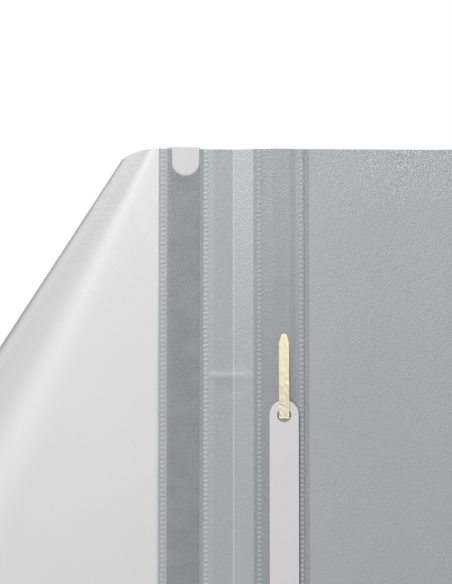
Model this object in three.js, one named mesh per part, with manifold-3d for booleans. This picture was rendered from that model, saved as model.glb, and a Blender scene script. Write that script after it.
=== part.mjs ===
// Open A4 report folder of soft film: a grey sheet scored at its spine, a clear front cover with
// its upper corner bent under, a label pocket, and a metal prong fastener with a compressor bar.
// Millimetres. X runs across the folder with the spine at 0, Y up its height, Z up from the floor.
import * as THREE from 'three';
import { mergeVertices } from 'three/addons/utils/BufferGeometryUtils.js';
import Module from 'manifold-3d';

// Sheet sizes
const sheetHeight = 310;
const backWidth = 232;
const frontWidth = 232;
const greyThickness = 0.3;
const clearThickness = 0.25;
const layerGap = 0.3;

// Front strip, with the label pocket between its two welds
const frontStripWidth = 32.25;
const clearInnerEdge = 10.2;
const outerWeld = 30.15;
const innerWeld = 11.8;
const labelWidth = 14;
const labelThickness = 0.25;
const labelLength = 300;
const labelStandsProud = 0.8;
const labelFromOuterWeld = 1.6;
const notchRadius = 6.06;
const notchDepth = 11.6;

// Fastener strip, with a weld along each edge
const fastenerStripLeft = 9.1;
const fastenerStripRight = 30.4;
const leftWeld = 11.15;
const rightWeld = 29.2;
const weldWidth = 2.25;
const weldShoulder = 0.9;

// Welds: short raised ridges along each seam
const weldPitch = 2;
const weldRidgeLength = 1.1;
const weldRidgeHeight = 0.16;
const weldRidgeSeat = 0.1;
const outerWeldStep = 0.4;
const innerWeldStep = 1.2;

// Prong fastener and compressor bar
const holePitch = 80;
const fastenerX = 21.7;
const metalThickness = 0.35;
const baseWidth = 9;
const baseEnd = 7;
const prongWidth = 4.4;
const prongReach = 35;
const prongTipWidth = 2.7;
const prongTaper = 3.9;
const prongBendRadius = 1.1;
const prongOffset = 1.7;
const prongDroop = 0.8;
const slotClearance = 0.5;
const barWidth = 12.5;
const barEndRadius = 6.25;
const barEnd = 6.5;
const barThickness = 0.6;
const barHoleRadius = 3;

// How the open folder lies
const foldLift = 0.6;
const frontGutterLift = 1.9;
const frontEdgeLift = 4.9;
const plateauLift = 2.4;
const layFlatAt = 85;

// Bend of the clear cover's upper corner
const bendMeetsTopAt = 45.3;
const bendRun = 0.643;
const bendReachTop = 9;
const bendReach = 6.8;
const bendHeightTop = 2.05;
const bendHeight = 4;
const bendSettles = 60;
const coverCrown = 0.02;

const wasm = await Module();
wasm.setup();

const halfHeight = sheetHeight / 2;
const ease = (t) => (1 - Math.cos(Math.PI * Math.min(Math.max(t, 0), 1))) / 2;
const mix = (a, b, t) => a + (b - a) * t;

function toManifold(geometry) {
  const bare = geometry.index ? geometry.toNonIndexed() : geometry.clone();
  bare.deleteAttribute('normal');
  bare.deleteAttribute('uv');
  const merged = mergeVertices(bare, 1e-5);
  return new wasm.Manifold(new wasm.Mesh({
    numProp: 3,
    vertProperties: Float32Array.from(merged.attributes.position.array),
    triVerts: Uint32Array.from(merged.index.array),
  }));
}

function toGeometry(solid) {
  const mesh = solid.getMesh();
  const geometry = new THREE.BufferGeometry();
  geometry.setAttribute('position', new THREE.BufferAttribute(mesh.vertProperties, 3));
  geometry.setIndex(new THREE.BufferAttribute(mesh.triVerts, 1));
  geometry.computeVertexNormals();
  return geometry;
}

// An outline in X and Z, extruded along Y between two places
function alongY(outline, from, to) {
  const shape = new THREE.Shape(outline.map(([x, z]) => new THREE.Vector2(x, z)));
  const geometry = new THREE.ExtrudeGeometry(shape, { depth: to - from, bevelEnabled: false });
  geometry.rotateX(Math.PI / 2);
  geometry.translate(0, to, 0);
  return geometry;
}

// An outline in X and Y, extruded upwards between two heights
function upwards(shape, from, to) {
  const geometry = new THREE.ExtrudeGeometry(shape, {
    depth: to - from, bevelEnabled: false, curveSegments: 16,
  });
  geometry.translate(0, 0, from);
  return geometry;
}

// A sheet that follows an underside given as points in X and Z
function sheetOutline(underside, thickness) {
  const top = underside.map(([x, z]) => [x, z + thickness]).reverse();
  return [...underside, ...top];
}

// Height of the grey film's underside over the floor, by its distance across
function greyUnderside(x) {
  if (x <= -clearInnerEdge) {
    const t = (-x - clearInnerEdge) / (frontStripWidth - clearInnerEdge);
    return mix(frontGutterLift, frontEdgeLift, t);
  }
  if (x <= 0) return mix(foldLift, frontGutterLift, -x / clearInnerEdge);
  if (x <= fastenerStripLeft) return mix(foldLift, plateauLift, x / fastenerStripLeft);
  if (x <= fastenerStripRight) return plateauLift;
  return plateauLift * (1 - ease((x - fastenerStripRight) / (layFlatAt - fastenerStripRight)));
}

const pocketDepth = labelThickness + 2 * layerGap;
const weldPress = labelThickness + layerGap;
const clearTop = (x) => greyUnderside(x) - pocketDepth;

// The ridges of one weld, raised on a film whose top has this height at the seam and this slope
function weldRidges(centreX, top, slope) {
  const count = Math.floor(sheetHeight / weldPitch);
  const half = weldRidgeLength / 2;
  const ridges = [];
  for (let i = 0; i < count; i += 1) {
    const centreY = (i - (count - 1) / 2) * weldPitch;
    const section = new THREE.Shape([
      new THREE.Vector2(-weldRidgeSeat, centreY - half),
      new THREE.Vector2(-weldRidgeSeat, centreY + half),
      new THREE.Vector2(weldRidgeHeight, centreY),
    ]);
    const ridge = new THREE.ExtrudeGeometry(section, { depth: weldWidth, bevelEnabled: false });
    ridge.rotateY(-Math.PI / 2);
    ridge.translate(weldWidth / 2, 0, 0);
    ridge.applyMatrix4(new THREE.Matrix4().set(
      1, 0, 0, centreX,
      0, 1, 0, 0,
      slope, 0, 1, top,
      0, 0, 0, 1,
    ));
    ridges.push(toManifold(ridge));
  }
  return wasm.Manifold.union(ridges);
}

// Grey sheet: front strip, spine and back cover in one
function greySheet() {
  const half = weldWidth / 2;
  const pressed = (x) => [x, greyUnderside(x) - weldPress];
  const loose = (x) => [x, greyUnderside(x)];
  const underside = [
    pressed(-frontStripWidth),
    pressed(-outerWeld + half),
    loose(-outerWeld + half + outerWeldStep),
    loose(-innerWeld - half - innerWeldStep),
    pressed(-innerWeld - half),
    pressed(-clearInnerEdge),
    loose(0),
    loose(fastenerStripLeft),
    loose(fastenerStripRight),
  ];
  const runOutSteps = 8;
  for (let i = 1; i <= runOutSteps; i += 1) {
    underside.push(loose(mix(fastenerStripRight, layFlatAt, i / runOutSteps)));
  }
  underside.push(loose(backWidth));
  const sheet = toManifold(alongY(sheetOutline(underside, greyThickness), -halfHeight, halfHeight));

  // Thumb notch in the pocket's mouth, centred on the label
  const labelCentre = outerWeld - labelFromOuterWeld - labelWidth / 2;
  const notch = new THREE.Shape();
  const straight = halfHeight - notchDepth + notchRadius;
  notch.moveTo(-labelCentre - notchRadius, halfHeight + 1);
  notch.lineTo(-labelCentre - notchRadius, straight);
  notch.absarc(-labelCentre, straight, notchRadius, Math.PI, 2 * Math.PI, false);
  notch.lineTo(-labelCentre + notchRadius, halfHeight + 1);
  const cutter = toManifold(upwards(notch, -1, frontEdgeLift + 2));

  const slope = (frontGutterLift - frontEdgeLift) / (frontStripWidth - clearInnerEdge);
  const weldTop = (x) => greyUnderside(x) - weldPress + greyThickness;
  return toGeometry(
    sheet
      .subtract(cutter)
      .add(weldRidges(-outerWeld, weldTop(-outerWeld), slope))
      .add(weldRidges(-innerWeld, weldTop(-innerWeld), slope)),
  );
}

// Label card in the pocket, against the outer weld and a little proud of the pocket's mouth
function labelStrip() {
  const left = -outerWeld + labelFromOuterWeld;
  const bottom = (x) => clearTop(x) + layerGap;
  const underside = [left, left + labelWidth].map((x) => [x, bottom(x)]);
  const top = halfHeight + labelStandsProud;
  return alongY(sheetOutline(underside, labelThickness), top - labelLength, top);
}

// Bend line of the clear cover: it leaves the top edge at bendMeetsTopAt and runs down to the
// left. along is measured down the line from there, out is measured up and left of it.
const lineLength = Math.hypot(bendRun, 1);
const down = { x: -bendRun / lineLength, y: -1 / lineLength };
const outwards = { x: -1 / lineLength, y: bendRun / lineLength };
function toBend(x, y) {
  const dx = x + bendMeetsTopAt;
  const dy = y - halfHeight;
  return { along: dx * down.x + dy * down.y, out: dx * outwards.x + dy * outwards.y };
}

function fromBend(along, out, z) {
  return new THREE.Vector3(
    -bendMeetsTopAt + along * down.x + out * outwards.x,
    halfHeight + along * down.y + out * outwards.y,
    z,
  );
}

const reachAt = (along) => mix(bendReachTop, bendReach, ease(along / bendSettles));
const heightAt = (along) => mix(bendHeightTop, bendHeight, ease(along / (4 * bendSettles)));

// The bend's section is half an ellipse, and a point on it is found by its length along the curve
const bendSteps = 48;
function bendLengths(along) {
  const lengths = [0];
  for (let i = 1; i <= bendSteps; i += 1) {
    const turn = (Math.PI * (i - 0.5)) / bendSteps;
    const step = Math.hypot(reachAt(along) * Math.cos(turn), heightAt(along) * Math.sin(turn));
    lengths.push(lengths[i - 1] + (step * Math.PI) / bendSteps);
  }
  return lengths;
}
const arcAt = (along) => bendLengths(along)[bendSteps];

// Where a point of the flat clear cover lies once its corner is bent under
function bentCover(x, y) {
  const { along, out } = toBend(x, y);
  const reach = reachAt(along);
  const height = heightAt(along);
  const past = out + reach;
  if (past > 0) {
    const lengths = bendLengths(along);
    const arc = lengths[bendSteps];
    if (past >= arc) return fromBend(along, -reach - (past - arc), 0);
    const i = lengths.findIndex((length) => length > past);
    const part = (past - lengths[i - 1]) / (lengths[i] - lengths[i - 1]);
    const turn = (Math.PI * (i - 1 + part)) / bendSteps;
    return fromBend(along, -reach + reach * Math.sin(turn), height + height * Math.cos(turn));
  }
  if (x > -frontStripWidth) return new THREE.Vector3(x, y, clearTop(x));
  const free = -past * lineLength;
  const fromSeam = -frontStripWidth - x;
  const span = free + fromSeam;
  const t = span > 0 ? fromSeam / span : 0;
  const crown = coverCrown * span * Math.sin(Math.PI * t) * (1 - t / 2);
  return new THREE.Vector3(x, y, mix(clearTop(-frontStripWidth), 2 * height, ease(t)) + crown);
}

// Points that meet are rounded alike, so that they merge
const snap = (p) => p.multiplyScalar(1e3).round().multiplyScalar(1e-3);

// A closed sheet from rows of outer points, each row with as many points as the next
function closedSheet(rows, inner) {
  const positions = [];
  const push = (a, b, c) => {
    const area = new THREE.Vector3().crossVectors(b.clone().sub(a), c.clone().sub(a)).length();
    if (area > 1e-7) [a, b, c].forEach((p) => positions.push(p.x, p.y, p.z));
  };
  const quad = (a, b, c, d) => {
    push(a, b, c);
    push(a, c, d);
  };
  const last = rows.length - 1;
  const end = rows[0].length - 1;
  for (let i = 0; i < last; i += 1) {
    for (let j = 0; j < end; j += 1) {
      quad(rows[i][j], rows[i + 1][j], rows[i + 1][j + 1], rows[i][j + 1]);
      quad(inner[i][j], inner[i][j + 1], inner[i + 1][j + 1], inner[i + 1][j]);
    }
    quad(rows[i][0], inner[i][0], inner[i + 1][0], rows[i + 1][0]);
    quad(rows[i + 1][end], inner[i + 1][end], inner[i][end], rows[i][end]);
  }
  for (let j = 0; j < end; j += 1) {
    quad(rows[0][j + 1], inner[0][j + 1], inner[0][j], rows[0][j]);
    quad(rows[last][j], inner[last][j], inner[last][j + 1], rows[last][j + 1]);
  }
  const geometry = new THREE.BufferGeometry();
  geometry.setAttribute('position', new THREE.Float32BufferAttribute(positions, 3));
  const merged = mergeVertices(geometry, 1e-5);
  merged.computeVertexNormals();
  return merged;
}

// Clear front cover: rows follow the bend line, from the lower seam corner to the corner bent under
function clearFrontCover() {
  const left = -frontWidth;
  const seam = -frontStripWidth;
  const corners = [[seam, -halfHeight], [left, -halfHeight], [seam, halfHeight], [left, halfHeight]];
  const outs = corners.map(([x, y]) => toBend(x, y).out);
  const [lowest, lowerLeft, upperSeam, highest] = outs;
  const spread = (from, to, steps) => {
    const list = [];
    for (let i = 0; i < steps; i += 1) list.push(mix(from, to, i / steps));
    return list;
  };
  const bendStarts = -Math.min(bendReachTop, bendReach);
  const bendEnds = arcAt(0);
  const nearer = Math.min(lowerLeft, upperSeam);
  const further = Math.max(lowerLeft, upperSeam);
  const lines = [
    ...spread(lowest, nearer, 11),
    nearer,
    ...spread(further, bendStarts, 2),
    ...spread(bendStarts, bendEnds, 13),
    ...spread(bendEnds, highest, 3),
    highest,
  ];
  // Ends of a line at this distance from the bend, on the cover's flat outline
  const yAt = (x, out) => halfHeight + (out - (x + bendMeetsTopAt) * outwards.x) / outwards.y;
  const xAt = (y, out) => -bendMeetsTopAt + (out - (y - halfHeight) * outwards.y) / outwards.x;
  const upperEnd = (out) => {
    const y = yAt(seam, out);
    return y <= halfHeight ? [seam, Math.max(y, -halfHeight)] : [xAt(halfHeight, out), halfHeight];
  };
  const lowerEnd = (out) => {
    const y = yAt(left, out);
    return y >= -halfHeight ? [left, Math.min(y, halfHeight)] : [xAt(-halfHeight, out), -halfHeight];
  };
  const steps = 12;
  const place = (x, y) => {
    const outer = bentCover(x, y);
    const h = 0.05;
    const dx = bentCover(x + h, y).sub(bentCover(x - h, y));
    const dy = bentCover(x, y + h).sub(bentCover(x, y - h));
    const normal = dx.cross(dy).normalize();
    const inner = outer.clone().addScaledVector(normal, -clearThickness);
    return { outer: snap(outer), inner: snap(inner) };
  };
  // Each row starts on the inner edge under the front strip, where it has that part to hold it
  const rowFrom = (out, held) => {
    const [x0, y0] = upperEnd(out);
    const [x1, y1] = lowerEnd(out);
    const row = [held ? place(-clearInnerEdge, y0) : place(x0, y0)];
    for (let j = 0; j <= steps; j += 1) row.push(place(mix(x0, x1, j / steps), mix(y0, y1, j / steps)));
    return row;
  };
  const rows = [
    ...lines.filter((out) => out <= upperSeam).map((out) => rowFrom(out, true)),
    ...lines.filter((out) => out >= upperSeam).map((out) => rowFrom(out, false)),
  ];
  return closedSheet(
    rows.map((row) => row.map((p) => p.outer)),
    rows.map((row) => row.map((p) => p.inner)),
  );
}

const greyTop = plateauLift + greyThickness;
const baseBottom = greyTop + layerGap;
const stripRaised = baseBottom + metalThickness + layerGap;
const stripLow = greyTop + layerGap;
const barBottom = stripRaised + greyThickness + layerGap;
const prongBottom = barBottom + barThickness + layerGap;
const holeY = holePitch / 2;

// Fastener strip: grey band over the fastener's base, lower at its two welds, slotted for the prongs
function fastenerStrip() {
  const leftFoot = leftWeld + weldWidth / 2 + weldShoulder;
  const rightFoot = rightWeld - weldWidth / 2 - weldShoulder;
  const underside = [
    [fastenerStripLeft, stripLow],
    [leftFoot, stripLow],
    [leftFoot + 2 * weldShoulder, stripRaised],
    [rightFoot - 2 * weldShoulder, stripRaised],
    [rightFoot, stripLow],
    [fastenerStripRight, stripLow],
  ];
  let strip = toManifold(alongY(sheetOutline(underside, greyThickness), -halfHeight, halfHeight));
  const halfSlot = prongWidth / 2 + slotClearance;
  const slot = new THREE.Shape();
  const near = holeY - prongOffset - slotClearance;
  const far = holeY - prongOffset + metalThickness + slotClearance;
  slot.moveTo(fastenerX - halfSlot, near);
  slot.lineTo(fastenerX + halfSlot, near);
  slot.lineTo(fastenerX + halfSlot, far);
  slot.lineTo(fastenerX - halfSlot, far);
  const cutter = toManifold(upwards(slot, stripLow, barBottom));
  strip = strip.subtract(cutter).subtract(cutter.mirror([0, 1, 0]));
  const top = stripLow + greyThickness;
  return toGeometry(strip.add(weldRidges(leftWeld, top, 0)).add(weldRidges(rightWeld, top, 0)));
}

// One prong seen from the side: up through the strip and the bar, round a bend, and out over the bar
function prongSide() {
  const outerY = holeY - prongOffset;
  const innerY = outerY + metalThickness;
  const radius = prongBendRadius;
  const top = prongBottom + metalThickness;
  const tipY = holeY + prongReach;
  const steps = 6;
  const outer = [];
  const inner = [];
  for (let i = 0; i <= steps; i += 1) {
    const angle = Math.PI - (Math.PI / 2) * (i / steps);
    const cos = Math.cos(angle);
    const sin = Math.sin(angle);
    const r = radius - metalThickness;
    outer.push([outerY + radius + radius * cos, top - radius + radius * sin]);
    inner.push([outerY + radius + r * cos, top - radius + r * sin]);
  }
  return [
    [outerY, baseBottom],
    ...outer,
    [tipY, top - prongDroop],
    [tipY, prongBottom - prongDroop],
    ...inner.reverse(),
    [innerY, baseBottom],
  ];
}

// One prong from above: straight sides, a short taper and a rounded tip
function prongPlan() {
  const half = prongWidth / 2;
  const tipHalf = prongTipWidth / 2;
  const tipY = holeY + prongReach;
  const plan = new THREE.Shape();
  plan.moveTo(fastenerX - half, holeY - prongOffset - 1);
  plan.lineTo(fastenerX + half, holeY - prongOffset - 1);
  plan.lineTo(fastenerX + half, tipY - prongTaper);
  plan.lineTo(fastenerX + tipHalf, tipY - tipHalf);
  plan.absarc(fastenerX, tipY - tipHalf, tipHalf, 0, Math.PI, false);
  plan.lineTo(fastenerX - half, tipY - prongTaper);
  return plan;
}

// Fastener: flat base under the strip and two prongs, one strip of metal
function fastener() {
  const shape = new THREE.Shape(prongSide().map(([y, z]) => new THREE.Vector2(y, z)));
  const side = new THREE.ExtrudeGeometry(shape, { depth: prongWidth + 2, bevelEnabled: false });
  side.rotateY(Math.PI / 2);
  side.rotateX(Math.PI / 2);
  side.translate(fastenerX - prongWidth / 2 - 1, 0, 0);
  const plan = toManifold(upwards(prongPlan(), 0, prongBottom + 2));
  const prong = toManifold(side).intersect(plan);

  const base = new THREE.Shape();
  const half = baseWidth / 2;
  const end = holeY + baseEnd - half;
  base.absarc(fastenerX, end, half, 0, Math.PI, false);
  base.absarc(fastenerX, -end, half, Math.PI, 2 * Math.PI, false);
  const plate = toManifold(upwards(base, baseBottom, baseBottom + metalThickness));
  return toGeometry(plate.add(prong).add(prong.mirror([0, 1, 0])));
}

// Compressor bar: flat bar with round ends and a hole over each prong
function compressorBar() {
  const half = barWidth / 2;
  const arcY = holeY + barEnd - barEndRadius;
  const outline = new THREE.Shape();
  outline.moveTo(fastenerX + half, -arcY);
  outline.lineTo(fastenerX + half, arcY);
  outline.absarc(fastenerX, arcY, barEndRadius, 0, Math.PI, false);
  outline.lineTo(fastenerX - half, -arcY);
  outline.absarc(fastenerX, -arcY, barEndRadius, Math.PI, 2 * Math.PI, false);
  for (const y of [-holeY, holeY]) {
    const hole = new THREE.Path();
    hole.absarc(fastenerX, y, barHoleRadius, 0, 2 * Math.PI, true);
    outline.holes.push(hole);
  }
  return upwards(outline, barBottom, barBottom + barThickness);
}

const finishes = {
  grey: { color: 0xa7acaf, roughness: 0.55, metalness: 0 },
  clear: { color: 0xe2e2e2, roughness: 0.35, metalness: 0 },
  card: { color: 0xe6e6e6, roughness: 0.8, metalness: 0 },
  gold: { color: 0xe8dcb4, roughness: 0.35, metalness: 1 },
  bar: { color: 0xd1cfd0, roughness: 0.5, metalness: 0 },
};

function piece(name, geometry, finish) {
  const mesh = new THREE.Mesh(geometry, new THREE.MeshStandardMaterial(finishes[finish]));
  mesh.name = name;
  return mesh;
}

const folder = new THREE.Group();
folder.add(
  piece('grey_cover_sheet', greySheet(), 'grey'),
  piece('clear_front_cover', clearFrontCover(), 'clear'),
  piece('label_strip', labelStrip(), 'card'),
  piece('fastener_strip', fastenerStrip(), 'grey'),
  piece('fastener', fastener(), 'gold'),
  piece('compressor_bar', compressorBar(), 'bar'),
);

export default folder;
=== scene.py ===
"""An open A4 report folder of soft grey film with a clear front cover, lying on a pale floor."""

import bisect
import math

import bmesh
import bpy
from mathutils import Matrix, Vector, noise


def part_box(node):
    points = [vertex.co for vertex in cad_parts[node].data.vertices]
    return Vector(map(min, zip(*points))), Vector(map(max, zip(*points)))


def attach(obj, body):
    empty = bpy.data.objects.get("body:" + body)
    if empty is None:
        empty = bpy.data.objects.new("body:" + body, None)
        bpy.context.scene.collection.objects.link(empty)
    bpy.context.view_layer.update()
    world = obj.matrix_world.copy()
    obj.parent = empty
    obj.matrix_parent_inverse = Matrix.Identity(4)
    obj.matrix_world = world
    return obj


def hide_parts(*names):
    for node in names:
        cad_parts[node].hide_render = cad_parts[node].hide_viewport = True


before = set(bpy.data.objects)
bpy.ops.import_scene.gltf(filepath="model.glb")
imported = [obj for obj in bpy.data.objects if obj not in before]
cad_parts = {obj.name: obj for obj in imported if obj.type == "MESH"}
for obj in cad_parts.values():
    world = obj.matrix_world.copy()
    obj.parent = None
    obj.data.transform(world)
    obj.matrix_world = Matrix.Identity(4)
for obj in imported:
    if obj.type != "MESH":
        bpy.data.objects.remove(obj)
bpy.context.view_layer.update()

# Grey cover sheet
# One sheet of embossed PVC film, 0.3 mm thick, scored down the spine and lying open.
# The front strip rises to the left and the back cover rises a little under the fastener.
MM = 0.001
HALF_HEIGHT = 155 * MM
FILM = 0.3 * MM
STRIP_EDGE = -32.25 * MM
CLEAR_INNER_EDGE = -10.2 * MM
FASTENER_LEFT = 9.1 * MM
FASTENER_RIGHT = 30.4 * MM
LAY_FLAT = 85 * MM
BACK_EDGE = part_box("grey_cover_sheet")[1][0]
FOLD_LIFT = 0.6 * MM
GUTTER_LIFT = 1.9 * MM
STRIP_LIFT = 4.9 * MM
PLATEAU = 2.4 * MM
POCKET = 0.85 * MM
OUTER_WELD = -30.15 * MM
INNER_WELD = -11.8 * MM
WELD_WIDTH = 2.25 * MM
WELD_EASES = 0.9 * MM
WELD_NIP = 0.12 * MM
CREASE_Y = 58 * MM
CREASE_RISE = 0.34 * MM
CREASE_HOLLOW = 0.12 * MM
WAVES_PER_METRE = 14
WAVE_LIFT = 0.45 * MM
WAVE_GROWS = 60 * MM
SHEET_ROWS = 124


def ease(t):
    t = min(max(t, 0.0), 1.0)
    return t * t * (3 - 2 * t)


def mix(a, b, t):
    return a + (b - a) * t


def grey_underside(x):
    """Height of the sheet's underside over the floor, the pocket lying loose."""
    if x <= CLEAR_INNER_EDGE:
        towards_edge = (x - CLEAR_INNER_EDGE) / (STRIP_EDGE - CLEAR_INNER_EDGE)
        return mix(GUTTER_LIFT, STRIP_LIFT, towards_edge)
    if x <= 0:
        return mix(FOLD_LIFT, GUTTER_LIFT, x / CLEAR_INNER_EDGE)
    if x <= FASTENER_LEFT:
        return mix(FOLD_LIFT, PLATEAU, x / FASTENER_LEFT)
    if x <= FASTENER_RIGHT:
        return PLATEAU
    return PLATEAU * (1 - ease((x - FASTENER_RIGHT) / (LAY_FLAT - FASTENER_RIGHT)))


def weld_dip(x):
    """How far the two front welds pull the strip down onto the clear film."""
    reach = WELD_WIDTH / 2 + WELD_EASES
    depth = POCKET - WELD_NIP
    outer = 1 - ease((x - OUTER_WELD) / reach - 0.5) if x > OUTER_WELD else 1.0
    inner = 1 - ease(abs(x - INNER_WELD) / reach - 0.5)
    return depth * max(outer, inner)


def buckle(x, y):
    """The soft crease across the gutter, a little above the fastener."""
    across = math.exp(-(((x + 2 * MM) / (9.5 * MM)) ** 4))
    centre = CREASE_Y - 0.04 * x
    up = math.exp(-(((y - centre) / (1.2 * MM)) ** 2))
    below = math.exp(-(((y - centre + 5 * MM) / (4 * MM)) ** 2))
    return across * (CREASE_RISE * up - CREASE_HOLLOW * below)


def profile_strip(name, stops, height, rows):
    """A sheet drawn out along Y from a profile of stops across, height(x, y) giving its surface."""
    bm = bmesh.new()
    verts = [bm.verts.new((x, -HALF_HEIGHT, 0)) for x in stops]
    edges = [bm.edges.new(pair) for pair in zip(verts, verts[1:])]
    for _ in range(rows):
        grown = bmesh.ops.extrude_edge_only(bm, edges=edges)["geom"]
        edges = [e for e in grown if isinstance(e, bmesh.types.BMEdge)]
        moved = [v for v in grown if isinstance(v, bmesh.types.BMVert)]
        bmesh.ops.translate(bm, vec=(0, 2 * HALF_HEIGHT / rows, 0), verts=moved)
        edges = [e for e in edges if all(v in moved for v in e.verts)]
    for v in bm.verts:
        v.co.z = height(v.co.x, v.co.y)
    bmesh.ops.recalc_face_normals(bm, faces=bm.faces)
    if sum(f.normal.z for f in bm.faces) < 0:
        bmesh.ops.reverse_faces(bm, faces=bm.faces)
    return mesh_piece(name, bm)


def mesh_piece(name, bm):
    """A smooth-shaded object of bm, with its open edges kept sharp."""
    for face in bm.faces:
        face.smooth = True
    for edge in bm.edges:
        edge.smooth = not edge.is_boundary
    mesh = bpy.data.meshes.new(name)
    bm.to_mesh(mesh)
    bm.free()
    piece = bpy.data.objects.new(name, mesh)
    bpy.context.collection.objects.link(piece)
    return piece


def thicken(piece, thickness, offset):
    """Gives a sheet its wall, above its surface for an offset of 1 and below it for -1."""
    wall = piece.modifiers.new("wall", "SOLIDIFY")
    wall.thickness = thickness
    wall.offset = offset
    wall.use_even_offset = True


def cut_away(piece, name, bm):
    """Cuts the closed shape in bm out of the piece for good."""
    cutter = mesh_piece(name, bm)
    cutter.data.shade_flat()
    cut = piece.modifiers.new("cut", "BOOLEAN")
    cut.operation = "DIFFERENCE"
    cut.solver = "EXACT"
    cut.object = cutter
    bpy.context.view_layer.update()
    depsgraph = bpy.context.evaluated_depsgraph_get()
    cut_mesh = bpy.data.meshes.new_from_object(piece.evaluated_get(depsgraph))
    piece.modifiers.clear()
    piece.data = cut_mesh
    bpy.data.objects.remove(cutter)


def spaced(start, end, step):
    """Even places from start up to, but without, end."""
    count = max(1, round(abs(end - start) / step))
    return [mix(start, end, i / count) for i in range(count)]


def grey_surface(x, y):
    """Height of the sheet's underside with its welds, its crease and the back cover's waves."""
    z = grey_underside(x)
    if x < CLEAR_INNER_EDGE + 1.5 * MM:
        z -= weld_dip(x)
    z += buckle(x, y)
    wave = noise.noise(Vector((x * WAVES_PER_METRE, y * WAVES_PER_METRE, 3.0)))
    loose = ease((x - FASTENER_RIGHT) / WAVE_GROWS)
    return z + loose * WAVE_LIFT * (1 + wave)


sheet_stops = [
    *spaced(STRIP_EDGE, 0, 0.75 * MM),
    *spaced(0, FASTENER_RIGHT, 1.2 * MM),
    *spaced(FASTENER_RIGHT, LAY_FLAT, 3 * MM),
    *spaced(LAY_FLAT, BACK_EDGE, 6 * MM),
    BACK_EDGE,
]
grey_sheet = profile_strip("grey_film_sheet", sheet_stops, grey_surface, SHEET_ROWS)
thicken(grey_sheet, FILM, 1)

NOTCH_X = -20.8 * MM
NOTCH_RADIUS = 6.06 * MM
NOTCH_DEPTH = 11.6 * MM
CUTTER_FOOT = -2 * MM
CUTTER_HEIGHT = 12 * MM
notch = bmesh.new()
bmesh.ops.create_circle(notch, cap_ends=True, segments=64, radius=NOTCH_RADIUS)
for v in notch.verts:
    if v.co.y > 0:
        v.co.y += 2 * NOTCH_DEPTH
notch_place = (NOTCH_X, HALF_HEIGHT - NOTCH_DEPTH + NOTCH_RADIUS, CUTTER_FOOT)
bmesh.ops.translate(notch, vec=notch_place, verts=notch.verts)
deep = bmesh.ops.extrude_face_region(notch, geom=notch.faces[:])["geom"]
deep = [v for v in deep if isinstance(v, bmesh.types.BMVert)]
bmesh.ops.translate(notch, vec=(0, 0, CUTTER_HEIGHT), verts=deep)
bmesh.ops.recalc_face_normals(notch, faces=notch.faces)
cut_away(grey_sheet, "notch_cutter", notch)


class Wire:
    """A shader socket that adds Math nodes when it is used in an expression."""

    def __init__(self, finish, socket):
        self.finish = finish
        self.socket = socket

    def math(self, operation, *values):
        return self.finish.node("ShaderNodeMath", {"operation": operation}, values)

    def __add__(self, other):
        return self.math("ADD", self, other)

    __radd__ = __add__

    def __sub__(self, other):
        return self.math("SUBTRACT", self, other)

    def __rsub__(self, other):
        return self.math("SUBTRACT", other, self)

    def __mul__(self, other):
        return self.math("MULTIPLY", self, other)

    __rmul__ = __mul__

    def __truediv__(self, other):
        return self.math("DIVIDE", self, other)


class Finish:
    """A procedural material: node() adds any node, and the rest are shorthands for it."""

    def __init__(self, name, roughness=0.5, metallic=0.0, **sockets):
        self.material = bpy.data.materials.new(name)
        self.material.use_nodes = True
        self.tree = self.material.node_tree
        self.shader = self.tree.nodes["Principled BSDF"]
        self.set("Roughness", roughness)
        self.set("Metallic", metallic)
        for socket, value in sockets.items():
            self.set(socket.replace("_", " "), value)
        place = self.tree.nodes.new("ShaderNodeTexCoord")
        self.place = Wire(self, place.outputs["Object"])

    def set(self, socket, value):
        if isinstance(value, Wire):
            self.tree.links.new(value.socket, self.shader.inputs[socket])
        else:
            self.shader.inputs[socket].default_value = value

    def node(self, kind, settings=None, values=(), output=0):
        """Adds a node, makes its settings, fills its inputs and gives one of its outputs."""
        made = self.tree.nodes.new(kind)
        for key, value in (settings or {}).items():
            setattr(made, key, value)
        named = values.items() if isinstance(values, dict) else enumerate(values)
        for key, value in named:
            if isinstance(value, Wire):
                self.tree.links.new(value.socket, made.inputs[key])
            else:
                made.inputs[key].default_value = value
        return Wire(self, made.outputs[output])

    def axis(self, index):
        return self.node("ShaderNodeSeparateXYZ", values=[self.place], output=index)

    def step(self, value, at, soft):
        """0 below at, 1 above it, over a soft width."""
        return self.node(
            "ShaderNodeMapRange",
            {"interpolation_type": "SMOOTHSTEP"},
            {"Value": value, "From Min": at - soft / 2, "From Max": at + soft / 2},
        )

    def between(self, value, low, high, soft):
        return self.step(value, low, soft) * (1 - self.step(value, high, soft))

    def blend(self, mask, first, second):
        """first where the mask is 0 and second where it is 1, for colours."""
        first = first if isinstance(first, Wire) else (*first, 1)
        second = second if isinstance(second, Wire) else (*second, 1)
        values = {0: mask, 6: first, 7: second}
        return self.node("ShaderNodeMix", {"data_type": "RGBA"}, values, output=2)

    def noise(self, scale, detail=2.0, roughness=0.5, stretch=(1, 1, 1)):
        place = self.node("ShaderNodeMapping", values={"Vector": self.place, "Scale": stretch})
        values = {"Vector": place, "Scale": scale, "Detail": detail, "Roughness": roughness}
        return self.node("ShaderNodeTexNoise", values=values)

    def cells(self, scale):
        values = {"Vector": self.place, "Scale": scale}
        return self.node("ShaderNodeTexVoronoi", {"feature": "SMOOTH_F1"}, values)

    def bump(self, height, distance, strength=1.0):
        values = {"Height": height, "Distance": distance, "Strength": strength}
        self.set("Normal", self.node("ShaderNodeBump", values=values))


LABEL_LEFT = -28.55 * MM
LABEL_RIGHT = -14.55 * MM


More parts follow.
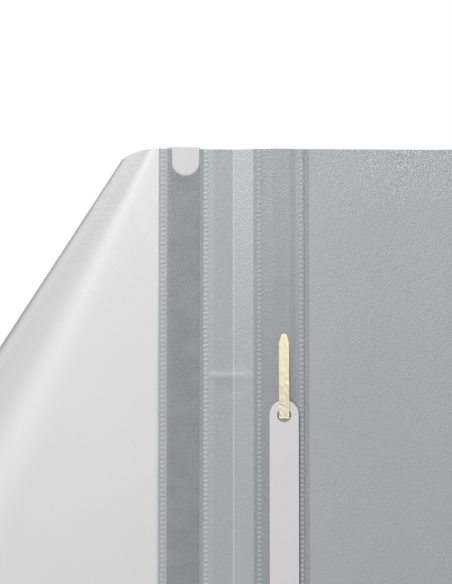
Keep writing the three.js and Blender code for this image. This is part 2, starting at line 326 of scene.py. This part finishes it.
def grey_film(name, colour, roughness, glints=(54 * MM, 138 * MM), depth=0.3 * MM):
    """Film with fine leather embossing, which is deeper right of and above a place, where it also
    has painted glints and painted shade in its creases.
    """
    finish = Finish(name, roughness=roughness, IOR=1.5)
    drift = (finish.noise(26, detail=3) - 0.5) * 0.5 + 0.5
    base = finish.blend(drift, [c * 0.965 for c in colour], [c * 1.03 for c in colour])
    grain = finish.cells(1250) * 0.6 + finish.noise(2600, detail=3) * 0.35
    creases = finish.noise(1500, detail=2, stretch=(1, 1.6, 1))
    right = finish.step(finish.axis(0), glints[0], 50 * MM)
    corner = right * finish.step(finish.axis(1), glints[1], 42 * MM)
    # Painted shade in the creases and painted glints of a lamp's sheen, right of and above the
    # place
    painted_crease_shade = (1 - finish.step(creases, 0.42, 0.16)) * corner
    base = finish.blend(painted_crease_shade * 0.4, base, (0.24, 0.26, 0.28))
    painted_glint_sheen = finish.step(creases, 0.55, 0.14) * corner
    base = finish.blend(painted_glint_sheen * 0.7, base, (0.76, 0.79, 0.81))
    finish.bump(grain + creases * corner * 1.6, depth, 0.9)
    return finish, base


sheet_finish, base = grey_film("grey_film", (0.40, 0.427, 0.446), 0.34)
across = sheet_finish.axis(0)
up = sheet_finish.axis(1)
# Painted shade where the label card lies behind the film and stops the light coming through it
behind = sheet_finish.between(across, LABEL_LEFT, LABEL_RIGHT, 0.35 * MM)
behind = behind * (1 - sheet_finish.step(up, HALF_HEIGHT + 0.4 * MM, 0.1 * MM))
mottle = sheet_finish.noise(90, detail=2, stretch=(1, 1.6, 1))
painted_card_shade = sheet_finish.blend(mottle, (0.215, 0.237, 0.254), (0.318, 0.342, 0.36))
base = sheet_finish.blend(behind, base, painted_card_shade)
# Painted light: the gutter right of the score is lighter at its top, and the crease has a painted
# highlight on its ridge and painted shade in the dip below
painted_gutter_light = sheet_finish.between(across, 0, FASTENER_LEFT, 0.3 * MM)
painted_gutter_light = painted_gutter_light * sheet_finish.step(up, 90 * MM, 110 * MM)
base = sheet_finish.blend(painted_gutter_light * 0.5, base, (0.50, 0.53, 0.55))
score = sheet_finish.between(across, -0.15 * MM, 0.3 * MM, 0.35 * MM)
base = sheet_finish.blend(score * 0.55, base, (0.66, 0.695, 0.72))
# Painted highlight along the crease's ridge
painted_crease_highlight = sheet_finish.between(up, 57.2 * MM, 58.8 * MM, 2.2 * MM)
painted_crease_highlight = painted_crease_highlight * sheet_finish.between(across, -11 * MM, 7 * MM, 6 * MM)
base = sheet_finish.blend(painted_crease_highlight * 0.6, base, (0.60, 0.63, 0.65))
# Painted shade in the dip below the crease
painted_dip_shade = sheet_finish.between(up, 50 * MM, 55 * MM, 5 * MM)
painted_dip_shade = painted_dip_shade * sheet_finish.between(across, -8 * MM, 0, 5 * MM)
base = sheet_finish.blend(painted_dip_shade * 0.4, base, (0.34, 0.365, 0.385))
# Painted shadow on the sheet just right of the fastener strip, and painted shade along its left
# edge
painted_strip_shadow = sheet_finish.between(across, FASTENER_RIGHT, FASTENER_RIGHT + 2.3 * MM, 0.5 * MM)
base = sheet_finish.blend(painted_strip_shadow * 0.85, base, (0.305, 0.32, 0.343))
shaded = sheet_finish.between(across, FASTENER_LEFT - 0.5 * MM, FASTENER_LEFT, 0.5 * MM)
base = sheet_finish.blend(shaded * 0.8, base, (0.30, 0.322, 0.338))
sheet_finish.set("Base Color", base)
grey_sheet.data.materials.append(sheet_finish.material)
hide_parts("grey_cover_sheet")
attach(grey_sheet, "root")

# Clear front cover
# Milky clear film, 0.25 mm thick, welded to the outside of the front strip. Its upper corner is
# bent under along a diagonal, so the film rises to a round edge there and lies on the floor below.
CLEAR = 0.25 * MM
FRONT_EDGE = -232 * MM
BEND_X = -45.3 * MM
BEND_RUN = 0.643
BEND_REACH_TOP = 9 * MM
BEND_REACH = 6.8 * MM
BEND_HEIGHT_TOP = 2.05 * MM
BEND_HEIGHT = 4 * MM
BEND_SETTLES = 60 * MM
CROWN = 0.02
CORNER_X = -33.5 * MM
CORNER_RADIUS = 26 * MM
CORNER_DEPTH = 8 * MM
CORNER_FADES_AT = 95 * MM
BEND_STEPS = 48
BEND_ZONE = 27 * MM
STREAK_X = -34.8 * MM
STREAK_RUN = 0.46
STREAK_WIDTH = 1.8 * MM
STREAK_SPREADS = 0.105
bend_length = math.hypot(BEND_RUN, 1)
down = Vector((-BEND_RUN, -1, 0)) / bend_length
out_of = Vector((-1, BEND_RUN, 0)) / bend_length
bend_start = Vector((BEND_X, HALF_HEIGHT, 0))


def cosine(t):
    """Like ease, but with the rounder start and end of a cosine."""
    return (1 - math.cos(math.pi * min(max(t, 0.0), 1.0))) / 2


def clear_top(x):
    """Top of the clear film where it lies under the front strip."""
    return grey_underside(x) - POCKET


def bent_cover(x, y):
    """Where a point of the flat clear film lies once its corner is bent under."""
    flat = Vector((x, y, 0)) - bend_start
    along = flat.dot(down)
    outward = flat.dot(out_of)
    reach = mix(BEND_REACH_TOP, BEND_REACH, cosine(along / BEND_SETTLES))
    height = mix(BEND_HEIGHT_TOP, BEND_HEIGHT, cosine(along / (4 * BEND_SETTLES)))
    past = outward + reach
    if past > 0:
        length = 0.0
        for i in range(BEND_STEPS):
            angle = math.pi * (i + 0.5) / BEND_STEPS
            slope = math.hypot(reach * math.cos(angle), height * math.sin(angle))
            piece = slope * math.pi / BEND_STEPS
            if length + piece >= past:
                turn = math.pi * (i + (past - length) / piece) / BEND_STEPS
                break
            length += piece
        else:
            return bend_start + along * down - (reach + past - length) * out_of
        out = -reach + reach * math.sin(turn)
        lifted = Vector((0, 0, height + height * math.cos(turn)))
        return bend_start + along * down + out * out_of + lifted
    if x > STRIP_EDGE:
        return Vector((x, y, clear_top(x)))
    from_seam = STRIP_EDGE - x
    span = from_seam - past * bend_length
    t = from_seam / span if span > 0 else 0.0
    crown = CROWN * span * math.sin(math.pi * t) * (1 - t / 2)
    return Vector((x, y, mix(clear_top(STRIP_EDGE), 2 * height, cosine(t)) + crown))


def flat_cover(u, y):
    """A point of the flat film: its columns run beside the bend, so the round edge is smooth."""
    bend_from = BEND_X + BEND_REACH_TOP * bend_length - (HALF_HEIGHT - y) * BEND_RUN
    places = (CLEAR_INNER_EDGE, STRIP_EDGE, bend_from, bend_from - BEND_ZONE, FRONT_EDGE)
    marks = (0.0, 0.08, 0.42, 0.82, 1.0)
    i = min(bisect.bisect_right(marks, u), len(marks) - 1)
    x = mix(places[i - 1], places[i], (u - marks[i - 1]) / (marks[i] - marks[i - 1]))
    x = max(x, FRONT_EDGE)
    rounded = min(max(CORNER_X - x, 0) ** 2 / (2 * CORNER_RADIUS), CORNER_DEPTH)
    return x, y - rounded * max(0, (y - CORNER_FADES_AT) / (HALF_HEIGHT - CORNER_FADES_AT))


cover = bmesh.new()
bmesh.ops.create_grid(cover, x_segments=120, y_segments=156, size=1.0)
for v in cover.verts:
    v.co = bent_cover(*flat_cover((1 - v.co.x) / 2, v.co.y * HALF_HEIGHT))
bmesh.ops.remove_doubles(cover, verts=cover.verts, dist=0.05 * MM)
clear_cover = mesh_piece("clear_film_cover", cover)
thicken(clear_cover, CLEAR, -1)

clear_finish = Finish("clear_film", roughness=0.46, IOR=1.5)
clear_drift = clear_finish.noise(18, detail=2)
clear_base = clear_finish.blend(clear_drift, (0.815, 0.815, 0.815), (0.865, 0.865, 0.865))
across = clear_finish.axis(0)
up = clear_finish.axis(1)
below = HALF_HEIGHT - up
# Painted shade makes it greyer towards the bend, and a painted highlight runs along a soft streak
# from the top of the seam
bend_at = BEND_X + BEND_REACH * bend_length - below * BEND_RUN
towards = (STRIP_EDGE - across) / (STRIP_EDGE - bend_at)
painted_bend_shade = clear_finish.step(towards, 0.8, 0.7)
clear_base = clear_finish.blend(painted_bend_shade, clear_base, (0.67, 0.67, 0.67))
# Painted shadow of the front strip's edge on the film, low down
beside = clear_finish.between(across, STRIP_EDGE - 0.8 * MM, STRIP_EDGE, 1.5 * MM)
beside = beside * (1 - clear_finish.step(up, 70 * MM, 50 * MM))
clear_base = clear_finish.blend(beside * 0.5, clear_base, (0.62, 0.62, 0.62))
streak_centre = STREAK_X - below * STREAK_RUN
aside = (across - streak_centre) / (STREAK_WIDTH + below * STREAK_SPREADS)
painted_streak_highlight = clear_finish.between(aside, -0.5, 0.5, 1.0)
clear_base = clear_finish.blend(painted_streak_highlight * 0.9, clear_base, (0.92, 0.92, 0.92))
# Where it turns down into the bend, the film has painted shade, darker the more it tilts from flat,
# and it is denser there, seen through more of itself
facing = clear_finish.node("ShaderNodeTexCoord", output=1)
tilt = 1 - clear_finish.node("ShaderNodeSeparateXYZ", values=[facing], output=2)
rim_shade_and_density = clear_finish.step(tilt, 0.1, 0.2)
clear_base = clear_finish.blend(rim_shade_and_density, clear_base, (0.37, 0.37, 0.37))
clear_finish.set("Base Color", clear_base)
clear_finish.set("Alpha", 0.85 + rim_shade_and_density * 0.13)
wrinkled = clear_finish.step(towards, 0.85, 0.4) * clear_finish.step(up, 112 * MM, 40 * MM)
film_grain = clear_finish.cells(1200) * 0.5 + clear_finish.noise(2400, 2) * 0.4
creases = clear_finish.noise(700, detail=3, stretch=(1, 1.7, 1))
clear_finish.bump(film_grain + creases * wrinkled * 2.2, 0.16 * MM, 0.6)
clear_cover.data.materials.append(clear_finish.material)
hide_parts("clear_front_cover")
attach(clear_cover, "root")

# Label card
# White card in the pocket, pushed against the outer weld and standing a little proud of it.
card_finish = Finish("label_card", roughness=0.75)
fibres = card_finish.noise(900, detail=4, stretch=(1, 0.25, 1))
card_finish.set("Base Color", card_finish.blend(fibres, (0.64, 0.632, 0.636), (0.69, 0.684, 0.688)))
card_finish.bump(fibres, 0.04 * MM, 0.4)
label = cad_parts["label_strip"]
label.data.materials.clear()
label.data.materials.append(card_finish.material)

# Fastener strip
# A band of the same grey film, welded to the back cover along both edges over the fastener's base
# and slit for the prongs. Two layers lie on each other here, so it is a little darker.
STRIP_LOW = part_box("fastener_strip")[0][2]
STRIP_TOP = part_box("fastener_strip")[1][2]
LEFT_WELD = 11.15 * MM
RIGHT_WELD = 29.3 * MM
STRIP_RISES = 4 * MM
STRIP_SINKS = 0.2 * MM
STRIP_ROWS = 62
SLIT_LENGTH = 5.4 * MM
SLIT_WIDTH = 1.5 * MM
FASTENER_X = 21.7 * MM
PRONG_Y = 38.45 * MM


def strip_surface(x, y):
    """Height of the strip's underside: down at its welds, and up over the fastener's base."""
    foot = WELD_WIDTH / 2 + 0.7 * MM
    left = ease((x - LEFT_WELD - foot) / STRIP_RISES)
    right = ease((RIGHT_WELD - foot - x) / STRIP_RISES)
    return mix(STRIP_LOW - STRIP_SINKS, STRIP_TOP - FILM, left * right)


strip_stops = [*spaced(FASTENER_LEFT, FASTENER_RIGHT, 0.6 * MM), FASTENER_RIGHT]
fastener_strip = profile_strip("grey_fastener_strip", strip_stops, strip_surface, STRIP_ROWS)
thicken(fastener_strip, FILM, 1)
for side in (1, -1):
    slit = bmesh.new()
    bmesh.ops.create_cube(slit, size=1.0)
    bmesh.ops.scale(slit, vec=(SLIT_LENGTH, SLIT_WIDTH, CUTTER_HEIGHT), verts=slit.verts)
    bmesh.ops.translate(slit, vec=(FASTENER_X, side * PRONG_Y, 0), verts=slit.verts)
    cut_away(fastener_strip, "slit_cutter", slit)
strip_finish, base = grey_film(
    "grey_film_doubled", (0.335, 0.36, 0.379), 0.38, glints=(34 * MM, 118 * MM)
)
# Painted light over the right side of the base, where its slope faces away from the lamps, and
# painted shade along the folder's centre round the bar
painted_slope_light = strip_finish.between(strip_finish.axis(0), 23.5 * MM, 28 * MM, 2 * MM)
base = strip_finish.blend(painted_slope_light * 0.5, base, (0.42, 0.445, 0.465))
painted_centre_shade = strip_finish.between(strip_finish.axis(1), -75 * MM, 75 * MM, 100 * MM)
base = strip_finish.blend(painted_centre_shade * 0.55, base, (0.268, 0.285, 0.295))
strip_finish.set("Base Color", base)
fastener_strip.data.materials.append(strip_finish.material)
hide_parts("fastener_strip")
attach(fastener_strip, "root")

# Welds
# Four seams of short bars, pressed in by a heated tool every 2 mm up the whole folder. Each bar
# is a rounded pad of melted film, a little paler than the film round it.
WELD_PITCH = 2 * MM
BAR_LENGTH = 1.2 * MM
BAR_HEIGHT = 0.13 * MM
BAR_ROUNDING = 0.16 * MM


def weld_seam(name, centre, width, surface, colour):
    """One ladder of bars up the folder, each standing on the surface under it."""
    pad = bmesh.new()
    count = round(2 * HALF_HEIGHT / WELD_PITCH)
    for i in range(count):
        y = (i - (count - 1) / 2) * WELD_PITCH
        bar = bmesh.ops.create_cube(pad, size=1.0)["verts"]
        bmesh.ops.scale(pad, vec=(width, BAR_LENGTH, 2 * BAR_HEIGHT), verts=bar)
        edges = list({e for v in bar for e in v.link_edges})
        bevelled = bmesh.ops.bevel(
            pad,
            geom=edges,
            offset=BAR_ROUNDING,
            segments=2,
            profile=0.5,
            affect="EDGES",
            material=-1,
        )["verts"]
        whole = set(bevelled)
        for v in bevelled:
            whole.update(o for e in v.link_edges for o in e.verts)
        for v in whole:
            v.co.z += surface(centre + v.co.x, y) + FILM
            v.co.x += centre
            v.co.y += y
    seam = mesh_piece(name, pad)
    finish, base = grey_film(name + "_film", colour, 0.4, depth=0.1 * MM)
    finish.set("Base Color", base)
    seam.data.materials.append(finish.material)
    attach(seam, "root")


weld_seam("weld_outer", OUTER_WELD, 2.1 * MM, grey_surface, (0.48, 0.505, 0.525))
weld_seam("weld_inner", INNER_WELD, 2.0 * MM, grey_surface, (0.50, 0.53, 0.55))
weld_seam("weld_left", LEFT_WELD, 1.7 * MM, strip_surface, (0.42, 0.445, 0.46))
weld_seam("weld_right", RIGHT_WELD, 1.7 * MM, strip_surface, (0.41, 0.435, 0.45))

# Prong fastener
# One strip of thin gold-lacquered sheet metal. Its two prongs come up through the film and the
# bar and are bent out flat; the lacquer is crinkled, with brown flecks where it has worn.
gold = Finish("gold_lacquer", roughness=0.34, metallic=0.75)
crinkle = gold.noise(700, detail=4, roughness=0.6, stretch=(1, 0.6, 1))
flecks = gold.step(gold.noise(520, detail=5, roughness=0.7), 0.64, 0.1)
gold_base = gold.blend(crinkle, (0.93, 0.80, 0.50), (1.0, 0.95, 0.76))
gold.set("Base Color", gold.blend(flecks * 0.6, gold_base, (0.42, 0.30, 0.14)))
gold.bump(crinkle, 0.25 * MM, 0.8)


def soften(node, width):
    """Welds a CAD mesh's loose triangles and rounds its sharp edges a little."""
    join = node.modifiers.new("join", "WELD")
    join.merge_threshold = 0.002 * MM
    edge = node.modifiers.new("edge", "BEVEL")
    edge.width = width
    edge.segments = 2
    edge.limit_method = "ANGLE"
    edge.angle_limit = math.radians(50)


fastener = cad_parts["fastener"]
fastener.data.materials.clear()
fastener.data.materials.append(gold.material)
soften(fastener, 0.08 * MM)

# Compressor bar
# A flat strip of matt light grey plastic with round ends, held down by the two prongs.
bar_finish = Finish("bar_plastic", roughness=0.5, IOR=1.45)
bar_drift = bar_finish.noise(120, detail=3)
bar_base = bar_finish.blend(bar_drift, (0.655, 0.642, 0.647), (0.70, 0.686, 0.692))
bar_finish.set("Base Color", bar_base)
bar_finish.bump(bar_finish.noise(2500, detail=3), 0.03 * MM, 0.5)
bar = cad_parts["compressor_bar"]
bar.data.materials.clear()
bar.data.materials.append(bar_finish.material)
soften(bar, 0.12 * MM)

# Floor
# A plain pale floor, white to the camera, which keeps the folder's shadow.
GLOW = 1.04
GLOW_SHARE = 0.86
floor_mesh = bmesh.new()
bmesh.ops.create_grid(floor_mesh, x_segments=1, y_segments=1, size=4.0)
floor = mesh_piece("floor", floor_mesh)
floor_finish = Finish("pale_floor", roughness=0.9, Specular_IOR_Level=0.1)
floor_finish.set("Base Color", (0.78, 0.78, 0.78, 1))
ray = floor_finish.node("ShaderNodeLightPath")
glow = floor_finish.node("ShaderNodeEmission", values={"Color": (1, 1, 1, 1), "Strength": GLOW})
plain = Wire(floor_finish, floor_finish.shader.outputs[0])
shown = floor_finish.node("ShaderNodeMixShader", values=[ray * GLOW_SHARE, plain, glow])
surface = floor_finish.tree.nodes["Material Output"].inputs["Surface"]
floor_finish.tree.links.new(shown.socket, surface)
floor.data.materials.append(floor_finish.material)

# Light and camera
# Three soft lamps, the strongest to the left beyond the head of the page, and even light from
# all round. The camera looks down on the folder's upper left part, a little from the page's foot.
WORLD_LIGHT = 0.22
world = bpy.data.worlds.new("studio")
bpy.context.scene.world = world
world.use_nodes = True
sky = world.node_tree.nodes["Background"]
sky.inputs["Color"].default_value = (1, 1, 1, 1)
sky.inputs["Strength"].default_value = WORLD_LIGHT


def soft_lamp(name, place, target, size, power):
    lamp = bpy.data.lights.new(name, "AREA")
    lamp.size = size
    lamp.energy = power
    holder = bpy.data.objects.new(name, lamp)
    bpy.context.collection.objects.link(holder)
    aim = (Vector(target) - Vector(place)).to_track_quat("-Z", "Y")
    holder.matrix_world = Matrix.Translation(place) @ aim.to_matrix().to_4x4()


soft_lamp("left_lamp", (-0.25, 0.55, 0.6), (0, 0.1, 0), 0.35, 4.8)
soft_lamp("right_lamp", (0.22, 0.45, 1.2), (0.08, 0.13, 0), 0.25, 1.7)
soft_lamp("foot_lamp", (-0.05, -0.45, 0.5), (0, 0.05, 0), 0.4, 1.15)

PIXELS_PER_MM = 2.322
FRAME_HEIGHT = 584
ELEVATION = math.radians(86)
DISTANCE = 0.95
SENSOR = 36
AIM = Vector((-3.2 * MM, 93.0 * MM, 3 * MM))
camera_data = bpy.data.cameras.new("camera")
camera_data.sensor_fit = "VERTICAL"
camera_data.sensor_height = SENSOR
camera_data.lens = SENSOR * DISTANCE / (FRAME_HEIGHT / PIXELS_PER_MM * MM)
camera = bpy.data.objects.new("camera", camera_data)
bpy.context.collection.objects.link(camera)
camera.location = AIM + DISTANCE * Vector((0, -math.cos(ELEVATION), math.sin(ELEVATION)))
camera.rotation_euler = (math.pi / 2 - ELEVATION, 0, 0)
bpy.context.scene.camera = camera
bpy.context.scene.view_settings.view_transform = "Standard"
